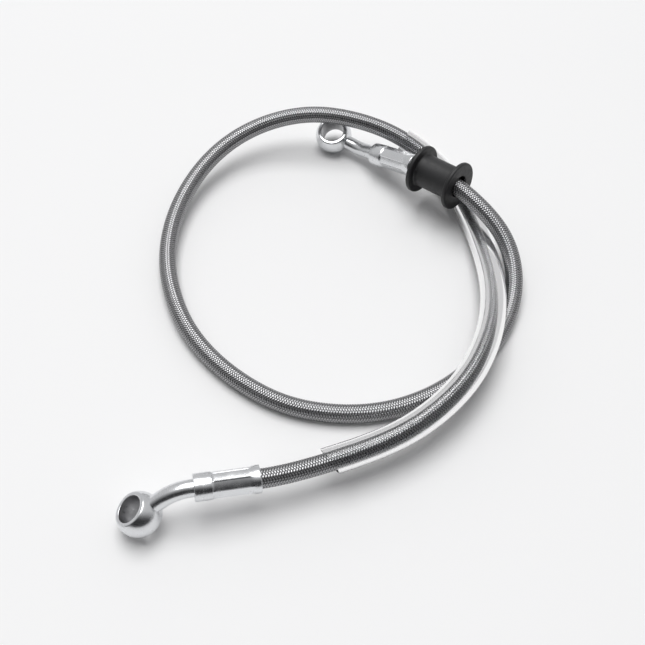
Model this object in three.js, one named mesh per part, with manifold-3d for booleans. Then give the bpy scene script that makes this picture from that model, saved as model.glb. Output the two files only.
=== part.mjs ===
// Braided brake hose with a banjo eye on each end, a clear sleeve and a rubber grommet, as it lies on a flat
// surface. Millimetres, +Z up. The surface is z = 0, and the origin is under the middle of the fittings and
// the grommet.
import * as THREE from 'three';
import { mergeVertices } from 'three/addons/utils/BufferGeometryUtils.js';
import Module from 'manifold-3d';

const wasm = await Module();
wasm.setup();

// Clearance between pieces that touch, and how far a cut runs past the face that it opens
const GAP = 0.3;
const CUT_PAST = 1;

// Hose: braid over liner, and the loose sleeve over both
const BRAID_DIAMETER = 7.3;
const BRAID_WALL = 0.65;
const LINER_WALL = 1.0;
const LINER_CLEARANCE = 0.4;
const SLEEVE_WALL = 0.55;
const SLEEVE_CLEARANCE = 0.9;
const HOSE_SIDES = 12;
const HOSE_STEPS = 48;
const SLEEVE_FIRST_STEP = 3;
const SLEEVE_LAST_STEP = 17;

// Banjo eye: a ball cut flat on two sides, with a bolt hole, a pipe socket and a drilling between the two
const BALL_DIAMETER = 16.5;
const EYE_WIDTH = 10.2;
const BOLT_HOLE_DIAMETER = 10.2;
const BOLT_HOLE_CHAMFER = 0.4;
const SOCKET_FLOOR = 1.2;
const DRILLING_DIAMETER = 3;

// Stem pipe, with the barbed nipple that holds the liner
const PIPE_DIAMETER = 6.4;
const PIPE_BORE = 3;
const PIPE_BEND_RADIUS = 16;
const NIPPLE_WALL = 0.6;
const NIPPLE_LENGTH = 15.5;
const BARB_COUNT = 4;
const BARB_PITCH = 3.2;
const BARB_DEPTH = 0.25;

// Crimp ferrule: plain collar, eight-sided crimp and flared mouth
const FERRULE_LENGTH = 23.6;
const COLLAR_DIAMETER = 10;
const COLLAR_LENGTH = 6.3;
const BACK_WALL = 4.4;
const CRIMP_SIDES = 8;
const CRIMP_DIAMETER = 9.8;
const CRIMP_ACROSS_FLATS = 9.2;
const MOUTH_DIAMETER = 10.2;
const MOUTH_LENGTH = 2.9;
const FERRULE_CLEARANCE = 0.35;
const EDGE_ROUND = 0.5;

// Rubber grommet: a spool whose groove fits a bracket
const GROMMET_LENGTH = 21;
const GROOVE_DIAMETER = 14.4;
const FLANGE_DIAMETER = 21;
const FLANGE_WIDTH = 2;
const FLANGE_ROUND = 0.8;
const GROMMET_CLEARANCE = 1.15;

// Where the fittings lie: middle of the eye, direction of the pipe and of the bolt hole, then the pipe's bend,
// as its angle toward the bolt hole's direction, its distance from the eye and its distance to the ferrule
const END_A = {
  letter: 'a',
  eye: [-60.6, -94.4, 7.95],
  pipe: [0.785, 0.282, 0.551],
  hole: [-0.583, 0.037, 0.812],
  bendDegrees: -39.5,
  eyeToBend: 16.9,
  bendToFerrule: 6.5,
};
const END_B = {
  letter: 'b',
  eye: [9.2, 94.5, 7.2],
  pipe: [0.841, -0.535, -0.081],
  hole: [-0.139, -0.36, 0.923],
  bendDegrees: 25,
  eyeToBend: 14.1,
  bendToFerrule: 9.9,
};
const GROMMET_START = [46.4, 63.6, 17.7];
const GROMMET_DIRECTION = [0.75, -0.65, 0.13];

// Middle of the hose as it lies, from the mouth of ferrule a to the mouth of ferrule b
const ROUTE = [
  [-0.5, -79, 13.5], [17, -72.5, 13], [33.5, -64.5, 13.5], [48, -53.5, 14], [60, -39.5, 14],
  [68, -23.5, 13.3], [72.5, -6, 11.5], [73.5, 12, 9.2], [71.8, 30, 7], [68.2, 48, 5.5],
  [62, 65, 5.5], [51.5, 79, 8.5], [36.5, 88, 14], [19, 92.5, 18.5], [1, 94.5, 20],
  [-17, 93.5, 17.5], [-33.5, 87, 14], [-46.5, 75, 11], [-55.5, 59.5, 8.5], [-60.5, 42, 7],
  [-61.5, 23.5, 5.5], [-58, 5.5, 4.5], [-51, -11, 4], [-40, -26, 3.8], [-26.5, -38, 3.8],
  [-10.5, -47, 3.8], [7, -51, 3.8], [25, -50.5, 3.8], [42.5, -45, 3.8], [58, -35, 3.8],
  [70.5, -21.5, 3.8], [79.5, -5.5, 4], [83.4, 12, 7.5], [79.5, 28.3, 13.9], [68.8, 41.6, 19.5],
  [56.1, 55.4, 19.8],
];

// Sizes that follow from the ones above
const BRAID_RADIUS = BRAID_DIAMETER / 2;
const BRAID_BORE_RADIUS = BRAID_RADIUS - BRAID_WALL;
const LINER_RADIUS = BRAID_BORE_RADIUS - LINER_CLEARANCE;
const LINER_BORE_RADIUS = LINER_RADIUS - LINER_WALL;
const SLEEVE_BORE_RADIUS = BRAID_RADIUS + SLEEVE_CLEARANCE;
const HALF_WIDTH = EYE_WIDTH / 2;
const BOLT_HOLE_RADIUS = BOLT_HOLE_DIAMETER / 2;
const PIPE_RADIUS = PIPE_DIAMETER / 2;
const SOCKET_BOTTOM = BOLT_HOLE_RADIUS + SOCKET_FLOOR;
const PIPE_START = SOCKET_BOTTOM + GAP;
const NIPPLE_RADIUS = LINER_BORE_RADIUS * Math.cos(Math.PI / HOSE_SIDES) - GAP;
const NIPPLE_BORE_RADIUS = NIPPLE_RADIUS - NIPPLE_WALL;
const HOSE_INSERT = FERRULE_LENGTH - BACK_WALL - GAP;

// Facets of the round pieces
const BALL_SEGMENTS = 36;
const BALL_ARC_STEPS = 10;
const PIPE_SEGMENTS = 20;
const PIPE_STEPS = 12;
const FERRULE_SEGMENTS = 36;
const GROMMET_SEGMENTS = 36;
const ROUND_STEPS = 2;

// Finishes, as the photo shows them
const ZINC = { color: 0xa9adb0, roughness: 0.22, metalness: 1 };
const STEEL_BRAID = { color: 0x8f9193, roughness: 0.42, metalness: 1 };
const PTFE = { color: 0xe9e8e2, roughness: 0.5, metalness: 0 };
const CLEAR_PLASTIC = { color: 0xdfe4e6, roughness: 0.15, metalness: 0, transparent: true, opacity: 0.35 };
const RUBBER = { color: 0x202021, roughness: 0.62, metalness: 0 };

// Solid for joining and cutting, from a closed geometry
function solid(geometry) {
  const bare = geometry.clone();
  bare.deleteAttribute('normal');
  bare.deleteAttribute('uv');
  const merged = mergeVertices(bare);
  const corners = merged.index.array;
  const triangles = [];
  for (let i = 0; i < corners.length; i += 3) {
    const [a, b, c] = corners.slice(i, i + 3);
    if (a !== b && b !== c && c !== a) triangles.push(a, b, c);
  }
  return new wasm.Manifold(new wasm.Mesh({
    numProp: 3,
    vertProperties: new Float32Array(merged.attributes.position.array),
    triVerts: new Uint32Array(triangles),
  }));
}

// Named mesh with a material of its own, from a solid
function piece(name, body, finish) {
  const { vertProperties, triVerts } = body.getMesh();
  const geometry = new THREE.BufferGeometry();
  geometry.setAttribute('position', new THREE.BufferAttribute(vertProperties, 3));
  geometry.setIndex(new THREE.BufferAttribute(triVerts, 1));
  geometry.computeVertexNormals();
  const mesh = new THREE.Mesh(geometry, new THREE.MeshStandardMaterial(finish));
  mesh.name = name;
  return mesh;
}

// Solid turned about +X from [radius, along] points, which run forward outside and back inside
function turned(profile, segments) {
  const points = profile.map(([radius, along]) => new THREE.Vector2(radius, along));
  return solid(new THREE.LatheGeometry(points, segments).rotateZ(-Math.PI / 2));
}

// Round rod on +X
function rod(radius, from, to, segments) {
  return turned([[0, from], [radius, from], [radius, to], [0, to]], segments);
}

// Closes a ring's profile, for a piece with a hole through it
function ring(profile) {
  return [...profile, profile[0]];
}

// Part of a circle as [radius, along] points, between two angles from the outward direction
function arc(centre, radius, fromDegrees, toDegrees, steps) {
  return Array.from({ length: steps + 1 }, (_, i) => {
    const angle = THREE.MathUtils.degToRad(THREE.MathUtils.lerp(fromDegrees, toDegrees, i / steps));
    return [centre[0] + radius * Math.cos(angle), centre[1] + radius * Math.sin(angle)];
  });
}

// Corners of a regular polygon whose corners lie at a radius
function polygon(radius, sides) {
  return Array.from({ length: sides }, (_, i) => {
    const angle = ((i + 0.5) / sides) * 2 * Math.PI;
    return new THREE.Vector2(radius * Math.cos(angle), radius * Math.sin(angle));
  });
}

// Hollow section along a curve
function tube(curve, radius, boreRadius, sides, steps) {
  const section = new THREE.Shape(polygon(radius, sides));
  section.holes.push(new THREE.Path(polygon(boreRadius, sides)));
  return solid(new THREE.ExtrudeGeometry(section, { extrudePath: curve, steps }));
}

// Full section along a curve
function bar(curve, radius, sides, steps) {
  const section = new THREE.Shape(polygon(radius, sides));
  return solid(new THREE.ExtrudeGeometry(section, { extrudePath: curve, steps }));
}

// Straight run on +X, an arc in the X-Z plane and a straight tail, of any lengths
class BentPath extends THREE.Curve {
  constructor(start, arcStart, radius, angle, tail) {
    super();
    Object.assign(this, { start, arcStart, radius, angle, tail });
    this.straight = arcStart - start;
    this.bend = radius * Math.abs(angle);
  }

  getPoint(t, target = new THREE.Vector3()) {
    const along = t * (this.straight + this.bend + this.tail);
    const swept = THREE.MathUtils.clamp(along - this.straight, 0, this.bend) / this.radius;
    const past = Math.max(0, along - this.straight - this.bend);
    const x = this.start + Math.min(along, this.straight) + this.radius * Math.sin(swept);
    const z = this.radius * (1 - Math.cos(swept));
    return target.set(x + past * Math.cos(swept), 0, Math.sign(this.angle) * (z + past * Math.sin(swept)));
  }
}

// Slopes of a smooth curve through points, with its two end slopes given
function splineSlopes(points, spans, firstSlope, lastSlope) {
  const last = points.length - 1;
  const slopes = points.map(() => new THREE.Vector3());
  slopes[0].copy(firstSlope);
  slopes[last].copy(lastSlope);
  const weights = [0];
  for (let i = 1; i < last; i += 1) {
    const before = 1 / spans[i - 1];
    const after = 1 / spans[i];
    const pivot = 2 * (before + after) - before * weights[i - 1];
    weights.push(after / pivot);
    slopes[i].subVectors(points[i], points[i - 1]).multiplyScalar(3 * before * before);
    slopes[i].addScaledVector(points[i + 1], 3 * after * after);
    slopes[i].addScaledVector(points[i], -3 * after * after);
    slopes[i].addScaledVector(slopes[i - 1], -before).divideScalar(pivot);
  }
  for (let i = last - 1; i > 0; i -= 1) slopes[i].addScaledVector(slopes[i + 1], -weights[i]);
  return slopes;
}

// Middle of the hose: straight in each ferrule and a smooth curve through the route between them
class HosePath extends THREE.Curve {
  constructor(points, firstDirection, lastDirection, insert) {
    super();
    this.points = points;
    this.spans = points.slice(1).map((point, i) => point.distanceTo(points[i]));
    this.slopes = splineSlopes(points, this.spans, firstDirection, lastDirection);
    this.insert = insert;
    this.free = this.spans.reduce((sum, span) => sum + span, 0);
    this.arcLengthDivisions = 3000;
  }

  getPoint(t, target = new THREE.Vector3()) {
    const { points, spans, slopes } = this;
    const last = points.length - 1;
    let along = t * (this.free + 2 * this.insert) - this.insert;
    if (along <= 0) return target.copy(points[0]).addScaledVector(slopes[0], along);
    if (along >= this.free) return target.copy(points[last]).addScaledVector(slopes[last], along - this.free);
    let i = 0;
    while (along > spans[i] && i < last - 1) {
      along -= spans[i];
      i += 1;
    }
    const u = along / spans[i];
    target.copy(points[i]).multiplyScalar((1 + 2 * u) * (1 - u) ** 2);
    target.addScaledVector(slopes[i], spans[i] * u * (1 - u) ** 2);
    target.addScaledVector(points[i + 1], u * u * (3 - 2 * u));
    return target.addScaledVector(slopes[i + 1], spans[i] * u * u * (u - 1));
  }
}

// Part of a curve, between two fractions of its length
class Stretch extends THREE.Curve {
  constructor(curve, from, to) {
    super();
    Object.assign(this, { curve, from, to });
  }

  getPoint(t, target = new THREE.Vector3()) {
    return this.curve.getPointAt(THREE.MathUtils.lerp(this.from, this.to, t), target);
  }
}

// Ball eye about the origin, bolt hole on Z, socket and drilling on +X
function banjoEye() {
  const ballRadius = BALL_DIAMETER / 2;
  const rim = THREE.MathUtils.radToDeg(Math.asin(HALF_WIDTH / ballRadius));
  const ball = turned(ring([
    [BOLT_HOLE_RADIUS, BOLT_HOLE_CHAMFER - HALF_WIDTH],
    [BOLT_HOLE_RADIUS + BOLT_HOLE_CHAMFER, -HALF_WIDTH],
    ...arc([0, 0], ballRadius, -rim, rim, BALL_ARC_STEPS),
    [BOLT_HOLE_RADIUS + BOLT_HOLE_CHAMFER, HALF_WIDTH],
    [BOLT_HOLE_RADIUS, HALF_WIDTH - BOLT_HOLE_CHAMFER],
  ]), BALL_SEGMENTS).rotate([0, -90, 0]);
  const socket = rod(PIPE_RADIUS + GAP, SOCKET_BOTTOM, BALL_DIAMETER, PIPE_SEGMENTS);
  const drilling = rod(DRILLING_DIAMETER / 2, 0, BALL_DIAMETER, PIPE_SEGMENTS);
  return ball.subtract(socket).subtract(drilling);
}

// Bent pipe from the eye's socket through the ferrule's back wall, and the nipple on its end
function stemPipe(end) {
  const angle = THREE.MathUtils.degToRad(end.bendDegrees);
  const tangent = PIPE_BEND_RADIUS * Math.tan(Math.abs(angle) / 2);
  const arcStart = end.eyeToBend - tangent;
  const tail = end.bendToFerrule - tangent + BACK_WALL;
  const outside = new BentPath(PIPE_START, arcStart, PIPE_BEND_RADIUS, angle, tail);
  const inside = new BentPath(PIPE_START - CUT_PAST, arcStart, PIPE_BEND_RADIUS, angle, tail - CUT_PAST);
  const pipe = bar(outside, PIPE_RADIUS, PIPE_SEGMENTS, PIPE_STEPS);
  const bore = bar(inside, PIPE_BORE / 2, PIPE_SEGMENTS, PIPE_STEPS);
  const place = (body) => body.rotate([0, -end.bendDegrees, 0]).translate(outside.getPoint(1).toArray());
  const nippleHole = rod(NIPPLE_BORE_RADIUS, -2 * CUT_PAST, NIPPLE_LENGTH + CUT_PAST, PIPE_SEGMENTS);
  return pipe.add(place(nipple())).subtract(bore).subtract(place(nippleHole));
}

// Barbed nipple on +X, rooted in the pipe's end
function nipple() {
  const root = NIPPLE_RADIUS - BARB_DEPTH;
  const barbs = [];
  for (let i = BARB_COUNT - 1; i >= 0; i -= 1) {
    const barbBack = NIPPLE_LENGTH - (i + 1) * BARB_PITCH;
    barbs.push([root, barbBack], [NIPPLE_RADIUS, barbBack], [root, barbBack + BARB_PITCH]);
  }
  return turned([[0, -CUT_PAST], [root, -CUT_PAST], ...barbs, [0, NIPPLE_LENGTH]], PIPE_SEGMENTS);
}

// Ferrule on +X, from its back face to its mouth
function crimpFerrule() {
  const hole = PIPE_RADIUS + GAP;
  const chamber = BRAID_RADIUS + FERRULE_CLEARANCE;
  const collar = COLLAR_DIAMETER / 2;
  const mouth = MOUTH_DIAMETER / 2;
  const crimpEnd = FERRULE_LENGTH - MOUTH_LENGTH;
  const flare = mouth - CRIMP_DIAMETER / 2;
  const blank = turned(ring([
    [hole, 0],
    ...arc([collar - EDGE_ROUND, EDGE_ROUND], EDGE_ROUND, -90, 0, ROUND_STEPS),
    [collar, COLLAR_LENGTH],
    [CRIMP_DIAMETER / 2, COLLAR_LENGTH + EDGE_ROUND],
    [CRIMP_DIAMETER / 2, crimpEnd],
    [mouth, crimpEnd + 2 * flare],
    ...arc([mouth - EDGE_ROUND, FERRULE_LENGTH - EDGE_ROUND], EDGE_ROUND, 0, 90, ROUND_STEPS),
    [chamber + EDGE_ROUND, FERRULE_LENGTH],
    [chamber, FERRULE_LENGTH - EDGE_ROUND],
    [chamber, BACK_WALL],
    [hole, BACK_WALL],
  ]), FERRULE_SEGMENTS);
  return blank.subtract(crimpDie(COLLAR_LENGTH + EDGE_ROUND, crimpEnd));
}

// What the crimping die leaves out: a ring with an eight-sided hole
function crimpDie(from, to) {
  const halfSide = CRIMP_ACROSS_FLATS / 2 / Math.cos(Math.PI / CRIMP_SIDES);
  const section = new THREE.Shape(polygon(MOUTH_DIAMETER, FERRULE_SEGMENTS));
  section.holes.push(new THREE.Path(polygon(halfSide, CRIMP_SIDES)));
  const die = new THREE.ExtrudeGeometry(section, { depth: to - from, bevelEnabled: false });
  return solid(die.rotateY(Math.PI / 2).translate(from, 0, 0));
}

// Grommet on +X, from one flange's outer face to the other's
function rubberGrommet() {
  const bore = BRAID_RADIUS + GROMMET_CLEARANCE;
  const groove = GROOVE_DIAMETER / 2;
  const rim = FLANGE_DIAMETER / 2 - FLANGE_ROUND;
  const flange = (from) => [
    ...arc([rim, from + FLANGE_ROUND], FLANGE_ROUND, -90, 0, ROUND_STEPS),
    ...arc([rim, from + FLANGE_WIDTH - FLANGE_ROUND], FLANGE_ROUND, 0, 90, ROUND_STEPS),
  ];
  return turned(ring([
    [bore, EDGE_ROUND],
    [bore + EDGE_ROUND, 0],
    ...flange(0),
    [groove + EDGE_ROUND, FLANGE_WIDTH],
    [groove, FLANGE_WIDTH + EDGE_ROUND],
    [groove, GROMMET_LENGTH - FLANGE_WIDTH - EDGE_ROUND],
    [groove + EDGE_ROUND, GROMMET_LENGTH - FLANGE_WIDTH],
    ...flange(GROMMET_LENGTH - FLANGE_WIDTH),
    [bore + EDGE_ROUND, GROMMET_LENGTH],
    [bore, GROMMET_LENGTH - EDGE_ROUND],
  ]), GROMMET_SEGMENTS);
}

// Group whose +X and +Z follow two directions
function placed(origin, xDirection, zDirection) {
  const x = new THREE.Vector3(...xDirection).normalize();
  const y = new THREE.Vector3(...zDirection).cross(x).normalize();
  const z = new THREE.Vector3().crossVectors(x, y);
  const group = new THREE.Group();
  group.quaternion.setFromRotationMatrix(new THREE.Matrix4().makeBasis(x, y, z));
  group.position.set(...origin);
  return group;
}

// Eye, stem pipe and ferrule of one end, with the place and direction of the ferrule's mouth
function endFitting(end) {
  const angle = THREE.MathUtils.degToRad(end.bendDegrees);
  const outward = new THREE.Vector3(Math.cos(angle), 0, Math.sin(angle));
  const fitting = placed(end.eye, end.pipe, end.hole);
  const ferrule = piece(`crimp_ferrule_${end.letter}`, crimpFerrule(), ZINC);
  ferrule.position.set(end.eyeToBend, 0, 0).addScaledVector(outward, end.bendToFerrule);
  ferrule.rotation.y = -angle;
  const eye = piece(`banjo_eye_${end.letter}`, banjoEye(), ZINC);
  const pipe = piece(`stem_pipe_${end.letter}`, stemPipe(end), ZINC);
  fitting.add(eye, pipe, ferrule);
  fitting.updateMatrixWorld();
  const mouth = ferrule.localToWorld(new THREE.Vector3(FERRULE_LENGTH, 0, 0));
  return { fitting, mouth, direction: outward.transformDirection(fitting.matrixWorld) };
}

// Liner, braid and sleeve along the hose, from mouth to mouth and into both ferrules
function hosePieces(endA, endB) {
  const points = [endA.mouth, ...ROUTE.map((point) => new THREE.Vector3(...point)), endB.mouth];
  const path = new HosePath(points, endA.direction, endB.direction.clone().negate(), HOSE_INSERT);
  const sleeved = new Stretch(path, SLEEVE_FIRST_STEP / HOSE_STEPS, SLEEVE_LAST_STEP / HOSE_STEPS);
  const sleeveSteps = SLEEVE_LAST_STEP - SLEEVE_FIRST_STEP;
  const liner = tube(path, LINER_RADIUS, LINER_BORE_RADIUS, HOSE_SIDES, HOSE_STEPS);
  const braid = tube(path, BRAID_RADIUS, BRAID_BORE_RADIUS, HOSE_SIDES, HOSE_STEPS);
  const sleeve = tube(sleeved, SLEEVE_BORE_RADIUS + SLEEVE_WALL, SLEEVE_BORE_RADIUS, HOSE_SIDES, sleeveSteps);
  return [
    piece('ptfe_liner', liner, PTFE),
    piece('steel_braid', braid, STEEL_BRAID),
    piece('clear_sleeve', sleeve, CLEAR_PLASTIC),
  ];
}

const endA = endFitting(END_A);
const endB = endFitting(END_B);
const grommet = placed(GROMMET_START, GROMMET_DIRECTION, [0, 0, 1]);
grommet.add(piece('rubber_grommet', rubberGrommet(), RUBBER));

const hose = new THREE.Group();
hose.add(endA.fitting, endB.fitting, grommet, ...hosePieces(endA, endB));

export default hose;
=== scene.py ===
import math

import bpy
import numpy as np
from mathutils import Matrix, Vector


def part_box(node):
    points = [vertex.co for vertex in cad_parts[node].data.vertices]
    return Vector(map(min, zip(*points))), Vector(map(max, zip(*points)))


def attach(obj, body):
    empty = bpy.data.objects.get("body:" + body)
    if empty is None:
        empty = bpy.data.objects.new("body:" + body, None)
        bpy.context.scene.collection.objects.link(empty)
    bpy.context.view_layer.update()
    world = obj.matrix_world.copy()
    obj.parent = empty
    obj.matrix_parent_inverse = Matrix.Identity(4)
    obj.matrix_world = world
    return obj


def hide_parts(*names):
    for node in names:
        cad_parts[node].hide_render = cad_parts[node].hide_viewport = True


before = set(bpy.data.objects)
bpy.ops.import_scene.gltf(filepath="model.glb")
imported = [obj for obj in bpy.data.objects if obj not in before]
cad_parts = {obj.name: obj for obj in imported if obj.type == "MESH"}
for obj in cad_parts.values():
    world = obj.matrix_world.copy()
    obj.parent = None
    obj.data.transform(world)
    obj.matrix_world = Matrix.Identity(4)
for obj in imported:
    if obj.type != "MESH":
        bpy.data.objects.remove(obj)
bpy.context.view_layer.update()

# Metres, in the frame of the model. Driving sizes are given in millimetres.
MM = 0.001

# Camera: where it stands and looks, its lens and sensor in millimetres, and the nearest thing that it sees
CAMERA_PLACE = Vector((4.0, -238.1, 331.0)) * MM
CAMERA_TARGET = Vector((4.0, -6.3, 0.0)) * MM
CAMERA_LENS = 54.98
CAMERA_SENSOR = 36.0
CAMERA_NEAREST = 10.0 * MM

# Hose: its two layers, and how much of each end lies in the ferrule
BRAID_DIAMETER = 7.3 * MM
LINER_DIAMETER = 5.2 * MM
LINER_BORE = 3.2 * MM
LINER_SIDES = 24
HOSE_INSERT = 18.9 * MM

# Dark tube under the wires that paints the shade in the gaps between them, and its clearance round the liner
SHADE_TUBE_RADIUS = 3.1 * MM
SHADE_TUBE_CLEARANCE = 0.1 * MM
SHADE_TUBE_SIDES = 28

# Points on the hose's middle: samples between two knots, the step of the points that the wires follow, and
# which of them the plain tubes and the sleeve follow
SPAN_SAMPLES = 200
STATION_STEP = 0.17 * MM
TUBE_STRIDE = 10
SLEEVE_STRIDE = 6

# Braid: carriers each way round, length of a turn, wires in a carrier, and how far they go into a ferrule
CARRIERS = 8
LAY_LENGTH = 8.2 * MM
WIRES_PER_CARRIER = 5
BRAID_INSERT = 3 * MM

# Carrier: its share of the room that it has, its points across, the height of its crown, how far it rises
# and dips at crossings, and how blunt that wave is
CARRIER_FILL = 0.93
CARRIER_POINTS = np.array((-0.5, -0.2, 0.2, 0.5))
CARRIER_CROWN = 0.16 * MM
CARRIER_RISE = 0.11 * MM
WAVE_BLUNTNESS = 1.3

# Clear sleeve: its section, where it starts and ends along the hose, and its clearance over the floor
SLEEVE_DIAMETER = 10.6 * MM
SLEEVE_BORE = 9.6 * MM
SLEEVE_START = 44.5 * MM
SLEEVE_END = 252.1 * MM
SLEEVE_SIDES = 48
SLEEVE_FLOOR_GAP = 0.05 * MM

# The loose sleeve drops off the hose's middle: how far at which lengths, to which side, and over how many
# points each way the drop is evened out
SLEEVE_DROP_AT = np.array((44.5, 62, 87, 108, 135, 215, 252.1)) * MM
SLEEVE_DROP = np.array((-0.35, 0, 0.7, 0.65, 0.2, 0.2, 0.6)) * MM
SLEEVE_DROP_SIDE = np.array((0, -0.82, -0.57))
SLEEVE_DROP_EASE = 15

# The sleeve's first end is cut aslant: how steeply, over how much of the sleeve this fades out, its longer
# side, and which point of the sleeve's line the end looks toward
SLANT = 0.4
SLANT_REACH = 9.0 * MM
SLANT_SIDE = np.array((-0.3, 0.75, 0.58))
SLANT_TOWARD = 3

# Banjo eye
BALL_DIAMETER = 16.5 * MM
EYE_WIDTH = 10.2 * MM
BOLT_HOLE_DIAMETER = 10.2 * MM
BOLT_HOLE_ROUND = 0.3 * MM
SOCKET_FLOOR = 1.2 * MM
SOCKET_CLEARANCE = 0.18 * MM
DRILLING_DIAMETER = 3.0 * MM
EYE_SEGMENTS = 120
EYE_ARC_STEPS = 40
EYE_ROUND_STEPS = 4
EYE_SHARP_ANGLE = 35

# Rim of the eye's flat faces: the ball stops short of the face, with one point between it and the flat
RIM_DROP = 0.15 * MM
RIM_POINT_INSET = 0.12 * MM
RIM_POINT_DROP = 0.036 * MM
RIM_FLAT_INSET = 0.3 * MM

# Facets of the tool that cuts the eye's holes, and how far round the bolt hole the machined finish, darkened
# by painted shade, goes
CUTTER_SIDES = 64
MACHINED_SHADE_DEPTH = 0.08 * MM

# Stem pipe, and its gap to the socket's floor
PIPE_DIAMETER = 6.4 * MM
PIPE_BORE = 3.0 * MM
PIPE_BEND_RADIUS = 16.0 * MM
PIPE_GAP = 0.3 * MM
PIPE_STEP = 0.4 * MM
PIPE_BEND_POINTS = 40
PIPE_SIDES = 64

# Crimp ferrule
FERRULE_LENGTH = 23.6 * MM
FERRULE_ROUND = 0.35 * MM
FERRULE_ROUND_STEPS = 5
FERRULE_HOLE_CLEARANCE = 0.1 * MM
COLLAR_DIAMETER = 10.0 * MM
COLLAR_LENGTH = 6.3 * MM
COLLAR_EDGE_LENGTH = 0.1 * MM
COLLAR_EDGE_DEPTH = 0.02 * MM
COLLAR_STEP_LENGTH = 0.15 * MM
BACK_WALL = 4.4 * MM
CHAMBER_DIAMETER = 8.0 * MM
CHAMBER_EDGE = 0.15 * MM
MOUTH_DIAMETER = 10.2 * MM
MOUTH_LENGTH = 2.9 * MM
BARREL_RINGS = 60
FERRULE_SEGMENTS = 320
FERRULE_SHARP_ANGLE = 35

# Flare, as (radius, along) points that are counted from the mouth's radius and the barrel's end
FLARE = np.array(((-0.12, 0.4), (-0.04, 1.3), (0, 1.8))) * MM

# Crimp: flats pressed into the barrel, with ribs between them. A crown of 0 is flat, and one of 1 is round.
CRIMP_SIDES = 8
CRIMP_DIAMETER = 9.8 * MM
CRIMP_ACROSS_FLATS = 9.2 * MM
CRIMP_CROWN = 0.35
CRIMP_RUN_IN = 0.8 * MM
CRIMP_RUN_OUT = 1.6 * MM
CRIMP_PAST_BARREL = 0.5 * MM
CRIMP_LEAST_WALL = 0.3 * MM
RIB_HEIGHT = 0.07 * MM
RIB_WIDTH = 0.5 * MM

# Rubber grommet
GROMMET_LENGTH = 21.0 * MM
GROMMET_BORE = 9.6 * MM
GROMMET_BORE_ROUND = 0.4 * MM
GROOVE_DIAMETER = 14.4 * MM
GROOVE_FILLET = 0.8 * MM
FLANGE_DIAMETER = 21.0 * MM
FLANGE_WIDTH = 2.0 * MM
FLANGE_ROUND = 0.7 * MM
GROMMET_DIRECTION = Vector((0.75, -0.65, 0.13)).normalized()
GROMMET_SEGMENTS = 144
BORE_ROUND_STEPS = 5
FILLET_STEPS = 6
FLANGE_ROUND_STEPS = 8
GROMMET_SHARP_ANGLE = 60

# Directions of each fitting's pipe and bolt hole, its bend, and the distances from eye to bend to ferrule
END_A = {
    "letter": "a",
    "pipe": Vector((0.785, 0.282, 0.551)),
    "hole": Vector((-0.583, 0.037, 0.812)),
    "bend": math.radians(-39.5),
    "eye_to_bend": 16.9 * MM,
    "bend_to_ferrule": 6.5 * MM,
}
END_B = {
    "letter": "b",
    "pipe": Vector((0.841, -0.535, -0.081)),
    "hole": Vector((-0.139, -0.36, 0.923)),
    "bend": math.radians(25),
    "eye_to_bend": 14.1 * MM,
    "bend_to_ferrule": 9.9 * MM,
}

# Middle of the hose as it lies, from ferrule a to ferrule b
ROUTE = np.array([
    (-0.5, -79, 13.5), (17, -72.5, 13), (33.5, -64.5, 13.5), (48, -53.5, 14), (60, -39.5, 14),
    (68, -23.5, 13.3), (72.5, -6, 11.5), (73.5, 12, 9.2), (71.8, 30, 7), (68.2, 48, 5.5),
    (62, 65, 5.5), (51.5, 79, 8.5), (36.5, 88, 14), (19, 92.5, 18.5), (1, 94.5, 20),
    (-17, 93.5, 17.5), (-33.5, 87, 14), (-46.5, 75, 11), (-55.5, 59.5, 8.5), (-60.5, 42, 7),
    (-61.5, 23.5, 5.5), (-58, 5.5, 4.5), (-51, -11, 4), (-40, -26, 3.8), (-26.5, -38, 3.8),
    (-10.5, -47, 3.8), (7, -51, 3.8), (25, -50.5, 3.8), (42.5, -45, 3.8), (58, -35, 3.8),
    (70.5, -21.5, 3.8), (79.5, -5.5, 4), (83.4, 12, 7.5), (79.5, 28.3, 13.9), (68.8, 41.6, 19.5),
    (56.1, 55.4, 19.8),
]) * MM

# Facets of a tube meet at less than this angle, and its walls and ends at more
TUBE_SHARP_ANGLE = 50

# Finishes: two colours that a surface varies between, and its lowest and highest roughness
ZINC_COLOURS = ((0.7, 0.71, 0.73), (0.79, 0.8, 0.81))
ZINC_ROUGHNESS = (0.2, 0.29)
# Bolt hole walls: colours darkened by painted shade, then the machined roughness
BORE_PAINTED_SHADE_COLOURS = ((0.3, 0.3, 0.31), (0.5, 0.5, 0.51))
MACHINED_ROUGHNESS = (0.26, 0.4)
# Braid: the dark colour of the painted shade on the wires, then the wires' own colour
WIRE_SHADE_COLOURS = ((0.02, 0.02, 0.021), (0.5, 0.5, 0.51))
WIRE_ROUGHNESS = (0.26, 0.34)
SHADE_TUBE_ROUGHNESS = (0.4, 0.65)
LINER_ROUGHNESS = (0.38, 0.5)
SLEEVE_ROUGHNESS = (0.06, 0.13)
RUBBER_COLOURS = ((0.009, 0.009, 0.01), (0.019, 0.019, 0.02))
RUBBER_ROUGHNESS = (0.44, 0.58)

# Share of the wires' colour that painted shade leaves between two wires, at a carrier's edge, and where a
# carrier dips under
WIRE_GAP_PAINTED_LIGHT = 0.6
CARRIER_EDGE_PAINTED_LIGHT = 0.1
CARRIER_DIP_PAINTED_LIGHT = 0.12

# Sleeve: a lower index than the plastic's own keeps the light bands of its wall thin. Its drawn lines come
# from a noise that is much finer round it than along it.
SLEEVE_INDEX = 1.36
DRAWN_LINE_SCALE = (16.0, 0.35, 1.0)
DRAWN_LINE_HEIGHT = 0.6

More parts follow.
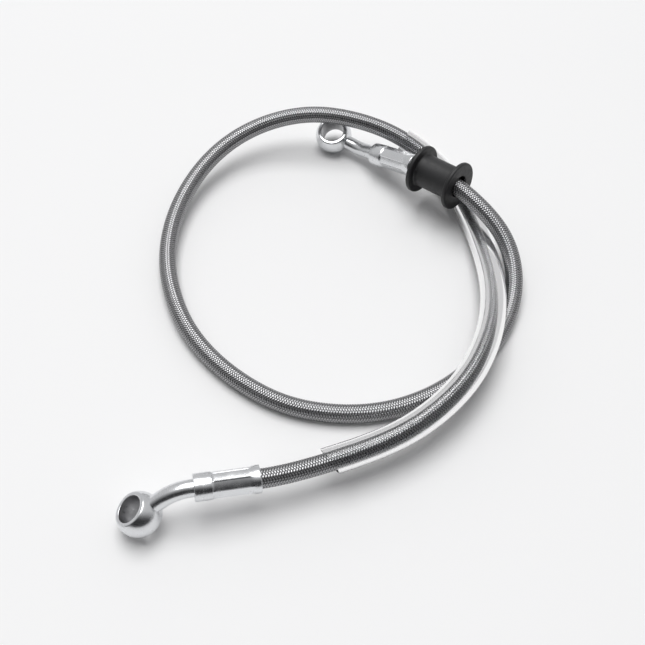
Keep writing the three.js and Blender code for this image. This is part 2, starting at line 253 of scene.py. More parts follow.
# Floor: its colour in front of the object and behind it, and at which Y
FLOOR_SIZE = 6.0
FLOOR_FRONT = (0.875, 0.875, 0.877)
FLOOR_BACK = (0.84, 0.84, 0.842)
FLOOR_FRONT_Y = -0.15
FLOOR_BACK_Y = 0.17
FLOOR_MOTTLE = 0.1

# Light: one wide soft lamp overhead
LIGHT_PLACE = (-0.16, 0.72, 2.35)
LIGHT_WIDTH = 1.5
LIGHT_DEPTH = 2.0
LIGHT_POWER = 45.5

# World: dark in front and bright behind, by a direction's Y plus a share of its Z
WORLD_DARK = (0.03, 0.03, 0.032)
WORLD_BRIGHT = (0.6, 0.6, 0.605)
WORLD_DARK_BELOW = -0.6
WORLD_BRIGHT_ABOVE = 0.35
WORLD_Z_SHARE = 0.35


def basis(origin, x_direction, z_direction):
    """Matrix whose +X and +Z follow two directions."""
    x = x_direction.normalized()
    y = z_direction.cross(x).normalized()
    z = x.cross(y)
    return Matrix.Translation(origin) @ Matrix((x, y, z)).transposed().to_4x4()


def moved(points, matrix):
    """Points in a matrix's own axes, moved to where they are in the model."""
    return points @ np.array(matrix.to_3x3()).T + np.array(matrix.translation)


def turned_by_bend(end):
    """Matrix from the ferrule's own frame to the fitting's frame."""
    outward = Vector((math.cos(end["bend"]), 0, math.sin(end["bend"])))
    start = Vector((end["eye_to_bend"], 0, 0)) + outward * end["bend_to_ferrule"]
    return Matrix.Translation(start) @ Matrix.Rotation(-end["bend"], 4, "Y")


def node_centre(node):
    low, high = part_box(node)
    return (low + high) / 2


def fitting_matrix(end):
    """Matrix of a fitting: the eye's middle, with the pipe on +X and the bolt hole on Z."""
    return basis(node_centre(f"banjo_eye_{end['letter']}"), end["pipe"], end["hole"])


def mouth_of(end):
    """Place and direction of the ferrule's mouth."""
    matrix = fitting_matrix(end) @ turned_by_bend(end)
    return matrix @ Vector((FERRULE_LENGTH, 0, 0)), (matrix.to_3x3() @ Vector((1, 0, 0))).normalized()


def make_camera():
    data = bpy.data.cameras.new("camera")
    data.lens = CAMERA_LENS
    data.sensor_width = CAMERA_SENSOR
    data.clip_start = CAMERA_NEAREST
    camera = bpy.data.objects.new("camera", data)
    camera.location = CAMERA_PLACE
    camera.rotation_euler = (CAMERA_TARGET - CAMERA_PLACE).to_track_quat("-Z", "Y").to_euler()
    bpy.context.scene.collection.objects.link(camera)
    bpy.context.scene.camera = camera


def length_along(path):
    """Length from a path's start to each of its points."""
    return np.concatenate([[0], np.cumsum(np.linalg.norm(np.diff(path, axis=0), axis=1))])


def resampled(path, step):
    """The same line with its points about a step apart."""
    along = length_along(path)
    places = np.linspace(0, along[-1], round(along[-1] / step) + 1)
    return np.stack([np.interp(places, along, path[:, k]) for k in range(3)], axis=1)


def part_of(path, start, end):
    """The stretch of a path between two lengths along it."""
    along = length_along(path)
    return path[(along >= start) & (along <= end)]


def curve_slopes(knots, spans, first_slope, last_slope):
    """Slopes at the knots of a smooth curve, with its two end slopes given."""
    count = len(knots)
    system = np.zeros((count, count))
    right = np.zeros((count, 3))
    system[0, 0] = system[-1, -1] = 1
    right[0] = first_slope
    right[-1] = last_slope
    for i in range(1, count - 1):
        before = 1 / spans[i - 1]
        after = 1 / spans[i]
        system[i, i - 1:i + 2] = before, 2 * (before + after), after
        right[i] = 3 * before ** 2 * (knots[i] - knots[i - 1]) + 3 * after ** 2 * (knots[i + 1] - knots[i])
    return np.linalg.solve(system, right)


def smooth_curve(knots, first_slope, last_slope, step):
    """Points a step apart on a smooth curve through the knots, with its end slopes given."""
    spans = np.linalg.norm(np.diff(knots, axis=0), axis=1)
    slopes = curve_slopes(knots, spans, first_slope, last_slope)
    u = np.linspace(0, 1, SPAN_SAMPLES, endpoint=False)[:, None]
    stretches = []
    for i, span in enumerate(spans):
        stretches.append(
            knots[i] * (1 + 2 * u) * (1 - u) ** 2
            + slopes[i] * span * u * (1 - u) ** 2
            + knots[i + 1] * u ** 2 * (3 - 2 * u)
            + slopes[i + 1] * span * u ** 2 * (u - 1)
        )
    return resampled(np.vstack(stretches + [knots[-1:]]), step)


def hose_path(step):
    """Middle of the whole hose, with its straight ends inside the ferrules."""
    place_a, direction_a = mouth_of(END_A)
    place_b, direction_b = mouth_of(END_B)
    knots = np.vstack([np.array(place_a), ROUTE, np.array(place_b)])
    free = smooth_curve(knots, np.array(direction_a), -np.array(direction_b), step)
    inside_a = np.array(place_a - direction_a * HOSE_INSERT)
    inside_b = np.array(place_b - direction_b * HOSE_INSERT)
    return resampled(np.vstack([inside_a, free, inside_b]), step)


def frames_along(path):
    """Two unit directions across the path at each point, turning as little as they can."""
    tangents = np.gradient(path, axis=0)
    tangents /= np.linalg.norm(tangents, axis=1)[:, None]
    side = np.cross(tangents[0], (0, 0, 1))
    sides = np.empty_like(path)
    for i, tangent in enumerate(tangents):
        side = side - tangent * side.dot(tangent)
        side = side / np.linalg.norm(side)
        sides[i] = side
    return sides, np.cross(tangents, sides)


def mesh_object(name, vertices, faces, material, sharp=None, uv=None):
    """Smooth-shaded mesh object with a material, riding on the root body. Sharp is an angle in degrees."""
    mesh = bpy.data.meshes.new(name)
    mesh.from_pydata(np.asarray(vertices).tolist(), [], np.asarray(faces).tolist())
    mesh.validate()
    mesh.shade_smooth()
    if sharp is not None:
        mesh.set_sharp_from_angle(angle=math.radians(sharp))
    if uv is not None:
        loops = np.empty(len(mesh.loops), dtype=np.int64)
        mesh.loops.foreach_get("vertex_index", loops)
        layer = mesh.uv_layers.new(name="UVMap")
        layer.data.foreach_set("uv", np.asarray(uv)[loops].astype(np.float32).ravel())
    mesh.materials.append(material)
    obj = bpy.data.objects.new(name, mesh)
    bpy.context.scene.collection.objects.link(obj)
    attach(obj, "root")
    return obj


def grid_faces(rows, columns, wrap_rows=False, wrap_columns=False):
    """Quads of a grid of vertices, numbered row by row."""
    row = np.arange(rows if wrap_rows else rows - 1)
    column = np.arange(columns if wrap_columns else columns - 1)
    r, c = np.meshgrid(row, column, indexing="ij")
    next_r = (r + 1) % rows
    next_c = (c + 1) % columns
    quads = [r * columns + c, r * columns + next_c, next_r * columns + next_c, next_r * columns + c]
    return np.stack(quads, axis=-1).reshape(-1, 4)


def tube_faces(count, sides):
    """Quads of a tube whose outer rings are numbered before its inner ones, with both its ends."""
    shell = grid_faces(count, sides, wrap_columns=True)
    inside = count * sides
    c = np.arange(sides)
    n = (c + 1) % sides
    start_cap = np.stack([c, n, n + inside, c + inside], axis=1)
    end_cap = start_cap[:, ::-1] + (count - 1) * sides
    return np.vstack([shell[:, ::-1], shell + inside, start_cap, end_cap])


def tube_object(name, path, radius, bore_radius, sides, material):
    """Tube with a wall along a path. Its UVs run round it and along it."""
    across, up = frames_along(path)
    angles = np.linspace(0, 2 * np.pi, sides, endpoint=False)
    radii = np.array([radius, bore_radius])
    ring = radii[:, None, None, None] * (
        np.cos(angles)[None, None, :, None] * across[None, :, None, :]
        + np.sin(angles)[None, None, :, None] * up[None, :, None, :]
    )
    vertices = (path[None, :, None, :] + ring).reshape(-1, 3)
    shape = (2, len(path), sides)
    around = np.broadcast_to(np.abs(angles / np.pi - 1), shape)
    lengthwise = np.broadcast_to(length_along(path)[:, None] / (2 * np.pi * radius), shape)
    uv = np.stack([around, lengthwise], axis=-1).reshape(-1, 2)
    faces = tube_faces(len(path), sides)
    return mesh_object(name, vertices, faces, material, sharp=TUBE_SHARP_ANGLE, uv=uv)


def carrier_wave(crossing):
    """Height of a carrier, from -1 to 1, at a crossing number: over one crossing, then under one."""
    return np.tanh(WAVE_BLUNTNESS * np.cos(crossing * np.pi)) / math.tanh(WAVE_BLUNTNESS)


def carrier_places(carrier, handed, along):
    """Lengths, angles and radii of a carrier's points round a straight hose, and its crossing numbers."""
    turn = 2 * np.pi / LAY_LENGTH
    lay_angle = math.atan2(math.pi * BRAID_DIAMETER, LAY_LENGTH)
    width = math.pi * BRAID_DIAMETER / CARRIERS * math.cos(lay_angle) * CARRIER_FILL
    spread = CARRIER_POINTS * width
    crossing = 2 * carrier + handed * (CARRIERS * turn * along / np.pi)
    height = handed * CARRIER_RISE * carrier_wave(crossing)
    crown = CARRIER_CROWN * (1 - (2 * CARRIER_POINTS) ** 2)
    radii = BRAID_DIAMETER / 2 - CARRIER_RISE - CARRIER_CROWN + height[:, None] + crown
    angle = 2 * np.pi * carrier / CARRIERS + handed * turn * along
    angles = angle[:, None] + spread * math.cos(lay_angle) / (BRAID_DIAMETER / 2)
    shift = -handed * spread * math.sin(lay_angle)
    lengths = np.clip(along[:, None] + shift, 0, along[-1])
    return lengths, angles, radii, crossing


def braid_object(name, path, handed, material):
    """Flat carriers of fine wire that wind one way round the hose, over and under the others.

    U runs across a carrier. V is even where the carrier lies on top, and odd where it dips under, where the
    material paints shade.
    """
    across, up = frames_along(path)
    along = length_along(path)
    rows = len(path)
    columns = len(CARRIER_POINTS)
    vertices, faces, uv = [], [], []
    for carrier in range(CARRIERS):
        lengths, angles, radii, crossing = carrier_places(carrier, handed, along)
        spine = np.stack([np.interp(lengths, along, path[:, k]) for k in range(3)], axis=-1)
        ring = np.cos(angles)[..., None] * across[:, None, :] + np.sin(angles)[..., None] * up[:, None, :]
        vertices.append((spine + radii[..., None] * ring).reshape(-1, 3))
        faces.append(grid_faces(rows, columns) + carrier * rows * columns)
        u = np.broadcast_to(CARRIER_POINTS + 0.5, lengths.shape)
        v = np.broadcast_to((crossing + (handed < 0))[:, None], lengths.shape)
        uv.append(np.stack([u, v], axis=-1).reshape(-1, 2))
    return mesh_object(name, np.vstack(vertices), np.vstack(faces), material, uv=np.vstack(uv))


def arc(centre, radius, from_degrees, to_degrees, steps):
    """Part of a circle as (radius, along) points, between two angles from the outward direction."""
    angles = np.radians(np.linspace(from_degrees, to_degrees, steps + 1))
    return np.stack([centre[0] + radius * np.cos(angles), centre[1] + radius * np.sin(angles)], axis=1)


def turned_object(name, profile, segments, matrix, material, sharp, outline=None):
    """Ring turned about +X from closed (radius, along) points. An outline may change the radius by angle."""
    profile = np.asarray(profile)
    angles = np.linspace(0, 2 * np.pi, segments, endpoint=False)
    radius = np.repeat(profile[:, :1], segments, axis=1)
    along = np.repeat(profile[:, 1:], segments, axis=1)
    if outline is not None:
        radius = outline(radius, along, angles[None, :])
    vertices = np.stack([along, radius * np.cos(angles), radius * np.sin(angles)], axis=-1).reshape(-1, 3)
    faces = grid_faces(len(profile), segments, wrap_rows=True, wrap_columns=True)[:, ::-1]
    return mesh_object(name, moved(vertices, matrix), faces, material, sharp=sharp)


def make_floor(material):
    bpy.ops.mesh.primitive_plane_add(size=FLOOR_SIZE)
    floor = bpy.context.object
    floor.name = "floor"
    floor.data.materials.append(material)


def make_light():
    data = bpy.data.lights.new("overhead", "AREA")
    data.shape = "RECTANGLE"
    data.size = LIGHT_WIDTH
    data.size_y = LIGHT_DEPTH
    data.energy = LIGHT_POWER
    light = bpy.data.objects.new("overhead", data)
    light.location = LIGHT_PLACE
    bpy.context.scene.collection.objects.link(light)


def make_world():
    """Studio round the object, which the metal reflects."""
    world = bpy.data.worlds.new("studio")
    world.use_nodes = True
    nodes = world.node_tree.nodes
    links = world.node_tree.links
    split = nodes.new("ShaderNodeSeparateXYZ")
    links.new(nodes.new("ShaderNodeTexCoord").outputs["Generated"], split.inputs["Vector"])
    height = nodes.new("ShaderNodeMath")
    height.operation = "MULTIPLY_ADD"
    height.inputs[1].default_value = WORLD_Z_SHARE
    links.new(split.outputs["Z"], height.inputs[0])
    links.new(split.outputs["Y"], height.inputs[2])
    blend = nodes.new("ShaderNodeMapRange")
    blend.interpolation_type = "SMOOTHSTEP"
    blend.inputs["From Min"].default_value = WORLD_DARK_BELOW
    blend.inputs["From Max"].default_value = WORLD_BRIGHT_ABOVE
    links.new(height.outputs[0], blend.inputs["Value"])
    mix = nodes.new("ShaderNodeMix")
    mix.data_type = "RGBA"
    links.new(blend.outputs["Result"], mix.inputs[0])
    mix.inputs[6].default_value = (*WORLD_DARK, 1)
    mix.inputs[7].default_value = (*WORLD_BRIGHT, 1)
    links.new(mix.outputs[2], nodes["Background"].inputs["Color"])
    bpy.context.scene.world = world


class Finish:
    """A node material with a principled shader, and short calls that add nodes to it.

    The colour and roughness that it starts with are for a viewer that reads no nodes.
    """

    def __init__(self, name, colour, roughness, metallic=0.0):
        self.material = bpy.data.materials.new(name)
        self.material.use_nodes = True
        self.nodes = self.material.node_tree.nodes
        self.links = self.material.node_tree.links
        self.shader = self.nodes["Principled BSDF"]
        self.set("Base Color", (*colour, 1))
        self.set("Roughness", roughness)
        self.set("Metallic", metallic)

    def set(self, socket, value):
        self.shader.inputs[socket].default_value = value

    def link(self, output, socket):
        self.links.new(output, self.shader.inputs[socket])

    def node(self, kind, inputs=None, **settings):
        node = self.nodes.new(kind)
        for key, value in settings.items():
            setattr(node, key, value)
        for socket, value in (inputs or {}).items():
            if isinstance(value, bpy.types.NodeSocket):
                self.links.new(value, node.inputs[socket])
            else:
                node.inputs[socket].default_value = value
        return node

    def coordinates(self, kind="Object"):
        return self.node("ShaderNodeTexCoord").outputs[kind]

    def noise(self, scale, detail=3.0, vector=None):
        vector = vector or self.coordinates()
        inputs = {"Vector": vector, "Scale": scale, "Detail": detail}
        return self.node("ShaderNodeTexNoise", inputs).outputs["Fac"]

    def maths(self, operation, *values):
        return self.node("ShaderNodeMath", dict(enumerate(values)), operation=operation).outputs[0]

    def ramp(self, value, low, high, from_low=0.3, from_high=0.7):
        """A value spread out from low to high. Most of a noise lies between 0.3 and 0.7."""
        inputs = {"Value": value, "From Min": from_low, "From Max": from_high, "To Min": low, "To Max": high}
        return self.node("ShaderNodeMapRange", inputs).outputs["Result"]

    def colours(self, factor, first, second):
        inputs = {0: factor, 6: (*first, 1), 7: (*second, 1)}
        return self.node("ShaderNodeMix", inputs, data_type="RGBA").outputs[2]

    def vary_colour(self, colours, scale):
        self.link(self.colours(self.noise(scale), *colours), "Base Color")

    def vary_roughness(self, limits, scale):
        self.link(self.ramp(self.noise(scale), *limits), "Roughness")

    def bump(self, height, distance, strength):
        inputs = {"Height": height, "Distance": distance, "Strength": strength}
        self.link(self.node("ShaderNodeBump", inputs).outputs["Normal"], "Normal")


def zinc_finish():
    finish = Finish("zinc_plate", (0.74, 0.75, 0.765), 0.24, metallic=1.0)
    finish.vary_roughness(ZINC_ROUGHNESS, scale=420.0)
    finish.vary_colour(ZINC_COLOURS, scale=160.0)
    finish.bump(finish.noise(scale=700.0), distance=0.02 * MM, strength=0.12)
    return finish.material


def machined_shade_finish():
    # Machined roughness, with a dark colour that paints the shade inside the bolt hole
    finish = Finish("machined_bore_shade", (0.42, 0.42, 0.43), 0.3, metallic=1.0)
    finish.vary_colour(BORE_PAINTED_SHADE_COLOURS, scale=240.0)
    finish.vary_roughness(MACHINED_ROUGHNESS, scale=700.0)
    return finish.material


def braid_finish():
    """Fine wires side by side in a carrier, with painted shade between them, at its edges and where it dips
    under.
    """
    finish = Finish("braided_wire", (0.5, 0.5, 0.5), 0.3, metallic=1.0)
    split = finish.node("ShaderNodeSeparateXYZ", {"Vector": finish.coordinates("UV")})
    across = split.outputs["X"]
    crossing = split.outputs["Y"]
    wave = finish.maths("COSINE", finish.maths("MULTIPLY", across, 2 * math.pi * WIRES_PER_CARRIER))
    wires = finish.ramp(wave, 1.0, 0.0, from_low=-1.0, from_high=1.0)
    aside = finish.maths("ABSOLUTE", finish.maths("SUBTRACT", across, 0.5))
    # Painted shade at a carrier's edges
    edge_painted_shade = finish.ramp(aside, 1.0, CARRIER_EDGE_PAINTED_LIGHT, from_low=0.22, from_high=0.5)
    height = finish.maths("COSINE", finish.maths("MULTIPLY", crossing, math.pi))
    # Painted shade where a carrier dips under the others
    dip_painted_shade = finish.ramp(height, CARRIER_DIP_PAINTED_LIGHT, 1.0, from_low=-0.5, from_high=0.6)
    # Painted shade between two wires
    light = finish.maths("MULTIPLY_ADD", wires, 1 - WIRE_GAP_PAINTED_LIGHT, WIRE_GAP_PAINTED_LIGHT)
    painted_wire_shade = finish.maths("MULTIPLY", finish.maths("MULTIPLY", light, edge_painted_shade), dip_painted_shade)
    # The painted shade mixes the wires' colour toward the dark one
    finish.link(finish.colours(painted_wire_shade, *WIRE_SHADE_COLOURS), "Base Color")
    finish.vary_roughness(WIRE_ROUGHNESS, scale=900.0)
    finish.bump(wires, distance=0.05 * MM, strength=0.15)
    return finish.material


def shade_tube_finish():
    # Dark colour that paints the shade seen between the wires
    finish = Finish("braid_shadow", (0.06, 0.06, 0.062), 0.5, metallic=0.6)
    finish.vary_roughness(SHADE_TUBE_ROUGHNESS, scale=1500.0)
    return finish.material


def liner_finish():
    finish = Finish("milky_liner", (0.85, 0.85, 0.82), 0.45)
    finish.vary_roughness(LINER_ROUGHNESS, scale=500.0)
    return finish.material


def sleeve_finish():
    """Clear soft plastic with faint lines along it from its die, and slight waves."""
    finish = Finish("clear_sleeve", (0.88, 0.885, 0.89), 0.07)
    finish.set("IOR", SLEEVE_INDEX)
    finish.set("Transmission Weight", 1.0)
    stretch = {"Vector": finish.coordinates("UV"), "Scale": DRAWN_LINE_SCALE}
    drawn = finish.noise(scale=1.0, vector=finish.node("ShaderNodeMapping", stretch).outputs["Vector"])
    finish.vary_roughness(SLEEVE_ROUGHNESS, scale=120.0)
    height = finish.maths("MULTIPLY_ADD", drawn, DRAWN_LINE_HEIGHT, finish.noise(scale=70.0))
    finish.bump(height, distance=0.1 * MM, strength=0.35)
    return finish.material


def rubber_finish():
    finish = Finish("moulded_rubber", (0.014, 0.014, 0.015), 0.5)
    finish.vary_roughness(RUBBER_ROUGHNESS, scale=700.0)
    finish.vary_colour(RUBBER_COLOURS, scale=90.0)
    finish.bump(finish.noise(scale=3200.0, detail=5.0), distance=0.03 * MM, strength=0.5)
    return finish.material


def floor_finish():
    finish = Finish("pale_floor", FLOOR_FRONT, 0.6)
    split = finish.node("ShaderNodeSeparateXYZ", {"Vector": finish.coordinates()})
    back = finish.ramp(split.outputs["Y"], 0.0, 1.0, from_low=FLOOR_FRONT_Y, from_high=FLOOR_BACK_Y)
    mottled = finish.maths("MULTIPLY_ADD", finish.noise(scale=60.0), FLOOR_MOTTLE, back)
    finish.link(finish.colours(mottled, FLOOR_FRONT, FLOOR_BACK), "Base Color")
    finish.set("Specular IOR Level", 0.2)
    return finish.material


def make_hose(path):
    """Braid, the dark tube of painted shade under it, and the liner. Gives that tube, the other pieces, and
    its line.
    """
    last = length_along(path)[-1]
    open_path = part_of(path, HOSE_INSERT - BRAID_INSERT, last - HOSE_INSERT + BRAID_INSERT)
    wire = braid_finish()
    right = braid_object("braid_wires_right", open_path, 1, wire)
    left = braid_object("braid_wires_left", open_path, -1, wire)
    line = path[::TUBE_STRIDE]
    outside = LINER_DIAMETER / 2
    room = outside + SHADE_TUBE_CLEARANCE
    shadow = shade_tube_finish()
    # Dark tube of painted shade under the wires
    shade_tube = tube_object("braid_painted_shade_tube", line, SHADE_TUBE_RADIUS, room, SHADE_TUBE_SIDES, shadow)
    liner = tube_object("liner_tube", line, outside, LINER_BORE / 2, LINER_SIDES, liner_finish())
    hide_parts("steel_braid")
    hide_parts("ptfe_liner")
    return shade_tube, [right, left, liner], line


def sleeve_drop(lengths):
    """How far the loose sleeve lies off the hose's middle, at lengths along the hose."""
    drop = np.interp(lengths, SLEEVE_DROP_AT, SLEEVE_DROP)
    window = 2 * SLEEVE_DROP_EASE + 1
    padded = np.pad(drop, SLEEVE_DROP_EASE, mode="edge")
    return np.convolve(padded, np.full(window, 1 / window), mode="valid")


def make_sleeve(path):
    """Loose sleeve, which drops to one side of the hose and stays above the floor."""
    line = part_of(path, SLEEVE_START, SLEEVE_END)[::SLEEVE_STRIDE]
    line = line + sleeve_drop(SLEEVE_START + length_along(line))[:, None] * SLEEVE_DROP_SIDE
    radius = SLEEVE_DIAMETER / 2
    bore_radius = SLEEVE_BORE / 2
    line[:, 2] = np.maximum(line[:, 2], radius + SLEEVE_FLOOR_GAP)
    sleeve = tube_object("sleeve_tube", line, radius, bore_radius, SLEEVE_SIDES, sleeve_finish())
    slant_start(sleeve, line)
    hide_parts("clear_sleeve")
    return sleeve


def slant_start(sleeve, path):
    """Makes the sleeve's first end look cut off by hand, a little aslant."""
    direction = path[SLANT_TOWARD] - path[0]
    direction /= np.linalg.norm(direction)
    for vertex in sleeve.data.vertices:
        offset = np.array(vertex.co) - path[0]
        along = offset @ direction
        if along < SLANT_REACH:
            shift = -SLANT * (offset @ SLANT_SIDE) * (1 - along / SLANT_REACH)
            vertex.co += Vector(direction * shift)


def rod_object(matrix, radius, start, end):
    """Round rod on +X of a frame, which only serves to cut."""
    angles = np.linspace(0, 2 * np.pi, CUTTER_SIDES, endpoint=False)
    ring = np.stack([0 * angles, radius * np.cos(angles), radius * np.sin(angles)], axis=1)
    corners = moved(np.vstack([ring + (start, 0, 0), ring + (end, 0, 0)]), matrix)
    sides = grid_faces(2, CUTTER_SIDES, wrap_columns=True)[:, ::-1].tolist()
    start_cap = list(range(CUTTER_SIDES))
    end_cap = list(range(2 * CUTTER_SIDES - 1, CUTTER_SIDES - 1, -1))
    mesh = bpy.data.meshes.new("cutter")
    mesh.from_pydata(corners.tolist(), [], [*sides, start_cap, end_cap])
    mesh.update()
    cutter = bpy.data.objects.new("cutter", mesh)
    bpy.context.scene.collection.objects.link(cutter)
    return cutter


def cut(obj, cutter):
    """Cuts an object with another, which is then removed."""
    modifier = obj.modifiers.new("cut", "BOOLEAN")
    modifier.operation = "DIFFERENCE"
    modifier.solver = "EXACT"
    modifier.object = cutter
    bpy.context.view_layer.update()
    done = bpy.data.meshes.new_from_object(obj.evaluated_get(bpy.context.evaluated_depsgraph_get()))
    obj.modifiers.remove(modifier)
    obj.data = done
    bpy.data.objects.remove(cutter)


def eye_profile():
    """Half section of the eye about its bolt hole, as closed (radius, along) points."""
    ball = BALL_DIAMETER / 2
    half = EYE_WIDTH / 2
    hole = BOLT_HOLE_DIAMETER / 2 + BOLT_HOLE_ROUND
    hole_end = half - BOLT_HOLE_ROUND
    rim = math.degrees(math.asin((half - RIM_DROP) / ball))
    seat = math.sqrt(ball ** 2 - half ** 2)
    upper_rim = [(seat - RIM_POINT_INSET, half - RIM_POINT_DROP), (seat - RIM_FLAT_INSET, half)]
    lower_rim = [(radius, -along) for radius, along in reversed(upper_rim)]
    return np.vstack([
        arc((hole, -hole_end), BOLT_HOLE_ROUND, 180, 270, EYE_ROUND_STEPS),
        lower_rim,
        arc((0, 0), ball, -rim, rim, EYE_ARC_STEPS),
        upper_rim,
        arc((hole, hole_end), BOLT_HOLE_ROUND, 90, 180, EYE_ROUND_STEPS),
    ])


def make_eye(end, zinc, bore_shade):
    """Ball with two flat faces, a bolt hole, a socket for the pipe and a drilling into the hole."""
    letter = end["letter"]
    matrix = fitting_matrix(end)
    upright = matrix @ Matrix.Rotation(math.radians(-90), 4, "Y")
    eye = turned_object(f"eye_{letter}", eye_profile(), EYE_SEGMENTS, upright, zinc, EYE_SHARP_ANGLE)
    socket_bottom = BOLT_HOLE_DIAMETER / 2 + SOCKET_FLOOR
    cut(eye, rod_object(matrix, PIPE_DIAMETER / 2 + SOCKET_CLEARANCE, socket_bottom, BALL_DIAMETER))
    cut(eye, rod_object(matrix, DRILLING_DIAMETER / 2, 0, BALL_DIAMETER))
    eye.data.set_sharp_from_angle(angle=math.radians(EYE_SHARP_ANGLE))
    shade_bolt_hole(eye, matrix, bore_shade)
    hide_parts(f"banjo_eye_{letter}")
    return eye


def shade_bolt_hole(eye, matrix, bore_shade):
    """Gives the walls of the bolt hole and of the drilling beside it their machined finish, whose darker
    colour is painted shade.
    """
    eye.data.materials.append(bore_shade)
    inverse = matrix.inverted()
    for face in eye.data.polygons:
        centre = inverse @ face.center
        if math.hypot(centre.x, centre.y) < BOLT_HOLE_DIAMETER / 2 + MACHINED_SHADE_DEPTH:
            face.material_index = 1


def make_pipe(end, zinc):
    """Bent pipe from the eye's socket into the ferrule's back wall."""
    angle = abs(end["bend"])
    tangent = PIPE_BEND_RADIUS * math.tan(angle / 2)
    start = BOLT_HOLE_DIAMETER / 2 + SOCKET_FLOOR + PIPE_GAP
    turns = np.linspace(0, angle, PIPE_BEND_POINTS)
    x = end["eye_to_bend"] - tangent + PIPE_BEND_RADIUS * np.sin(turns)
    z = math.copysign(1, end["bend"]) * PIPE_BEND_RADIUS * (1 - np.cos(turns))
    bend = np.stack([x, 0 * x, z], axis=1)
    outward = np.array((math.cos(end["bend"]), 0, math.sin(end["bend"])))
    tail = bend[-1] + outward * (end["bend_to_ferrule"] - tangent + BACK_WALL)
    line = resampled(moved(np.vstack([(start, 0, 0), bend, tail]), fitting_matrix(end)), PIPE_STEP)
    letter = end["letter"]
    pipe = tube_object(f"pipe_{letter}", line, PIPE_DIAMETER / 2, PIPE_BORE / 2, PIPE_SIDES, zinc)
    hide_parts(f"stem_pipe_{letter}")
    return pipe


def crimp_outline(radius, along, angles):
    """Presses slightly crowned flats, with a thin rib between them, into the barrel from collar to mouth."""
    flat_step = 2 * np.pi / CRIMP_SIDES
    from_flat = (angles + flat_step / 2) % flat_step - flat_step / 2
    flat = CRIMP_ACROSS_FLATS / 2 / np.cos(from_flat)
    flat = flat + CRIMP_CROWN * (CRIMP_ACROSS_FLATS / 2 - flat)
    from_corner = (flat_step / 2 - abs(from_flat)) * CRIMP_DIAMETER / 2
    flat = flat + RIB_HEIGHT * np.clip(1 - (2 * from_corner / RIB_WIDTH) ** 2, 0, 1)
    end = FERRULE_LENGTH - MOUTH_LENGTH + CRIMP_PAST_BARREL
    run_in = np.clip((along - COLLAR_LENGTH) / CRIMP_RUN_IN, 0, 1)
    run_out = np.clip((end - along) / CRIMP_RUN_OUT, 0, 1)
    pressed = run_in * run_out * (np.minimum(radius + RIB_HEIGHT, flat) - radius)
    outside = radius > CHAMBER_DIAMETER / 2 + CRIMP_LEAST_WALL
    return np.where(outside, radius + pressed, radius)


def ferrule_profile():
    """Half section of the ferrule before its crimp, as closed (radius, along) points."""
    collar = COLLAR_DIAMETER / 2
    mouth = MOUTH_DIAMETER / 2
    chamber = CHAMBER_DIAMETER / 2
    hole = PIPE_DIAMETER / 2 + FERRULE_HOLE_CLEARANCE
    soft = FERRULE_ROUND
    barrel_end = FERRULE_LENGTH - MOUTH_LENGTH
    barrel = np.linspace(COLLAR_LENGTH + COLLAR_STEP_LENGTH, barrel_end, BARREL_RINGS)
    return np.vstack([
        [(hole, 0)],
        arc((collar - soft, soft), soft, -90, 0, FERRULE_ROUND_STEPS),
        [(collar, COLLAR_LENGTH - COLLAR_EDGE_LENGTH), (collar - COLLAR_EDGE_DEPTH, COLLAR_LENGTH)],
        np.stack([np.full(BARREL_RINGS, CRIMP_DIAMETER / 2), barrel], axis=1),
        FLARE + (mouth, barrel_end),
        arc((mouth - soft, FERRULE_LENGTH - soft), soft, 0, 90, FERRULE_ROUND_STEPS),
        [(chamber + CHAMBER_EDGE, FERRULE_LENGTH), (chamber, FERRULE_LENGTH - CHAMBER_EDGE)],
        [(chamber, BACK_WALL), (hole, BACK_WALL)],
    ])


def make_ferrule(end, zinc):
    """Ferrule with a hole for the pipe in its back wall and a chamber for the hose."""
    letter = end["letter"]
    ferrule = turned_object(
        f"ferrule_{letter}", ferrule_profile(), FERRULE_SEGMENTS, fitting_matrix(end) @ turned_by_bend(end),
        zinc, FERRULE_SHARP_ANGLE, crimp_outline,
    )
    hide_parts(f"crimp_ferrule_{letter}")
    return ferrule


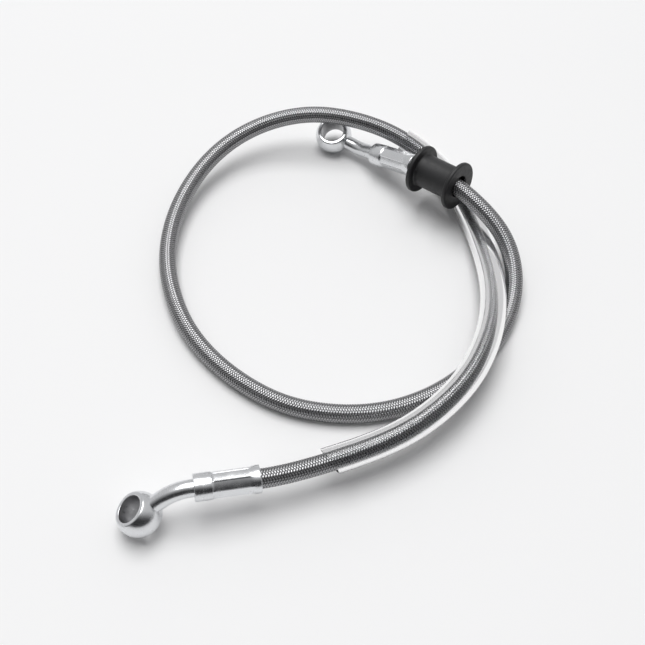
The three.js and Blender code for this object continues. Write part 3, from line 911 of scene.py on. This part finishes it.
def make_fitting(end, zinc, bore_shade):
    return [make_eye(end, zinc, bore_shade), make_pipe(end, zinc), make_ferrule(end, zinc)]


def flange_profile(start):
    """Rounded rim of a flange as (radius, along) points, from its start along the grommet."""
    rim = FLANGE_DIAMETER / 2 - FLANGE_ROUND
    end = start + FLANGE_WIDTH
    return [
        arc((rim, start + FLANGE_ROUND), FLANGE_ROUND, -90, 0, FLANGE_ROUND_STEPS),
        arc((rim, end - FLANGE_ROUND), FLANGE_ROUND, 0, 90, FLANGE_ROUND_STEPS),
    ]


def make_grommet(material):
    """Spool with two flanges and a groove between them."""
    length = GROMMET_LENGTH
    bore = GROMMET_BORE / 2 + GROMMET_BORE_ROUND
    bore_round = GROMMET_BORE_ROUND
    groove = GROOVE_DIAMETER / 2 + GROOVE_FILLET
    groove_start = FLANGE_WIDTH + GROOVE_FILLET
    profile = np.vstack([
        arc((bore, bore_round), bore_round, 180, 270, BORE_ROUND_STEPS),
        *flange_profile(0),
        arc((groove, groove_start), GROOVE_FILLET, 270, 180, FILLET_STEPS),
        arc((groove, length - groove_start), GROOVE_FILLET, 180, 90, FILLET_STEPS),
        *flange_profile(length - FLANGE_WIDTH),
        arc((bore, length - bore_round), bore_round, 90, 180, BORE_ROUND_STEPS),
    ])
    start = node_centre("rubber_grommet") - GROMMET_DIRECTION * (length / 2)
    matrix = basis(start, GROMMET_DIRECTION, Vector((0, 0, 1)))
    grommet = turned_object(
        "grommet", profile, GROMMET_SEGMENTS, matrix, material, GROMMET_SHARP_ANGLE
    )
    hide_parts("rubber_grommet")
    return grommet


make_camera()
hose = hose_path(STATION_STEP)
shade_tube_piece, braid_pieces, hose_line = make_hose(hose)
sleeve_piece = make_sleeve(hose)
zinc_plate = zinc_finish()
machined_bore_shade = machined_shade_finish()
make_fitting(END_A, zinc_plate, machined_bore_shade)
fitting_b = make_fitting(END_B, zinc_plate, machined_bore_shade)
grommet_piece = make_grommet(rubber_finish())
make_floor(floor_finish())
make_light()
make_world()
bpy.context.scene.view_settings.view_transform = "Standard"
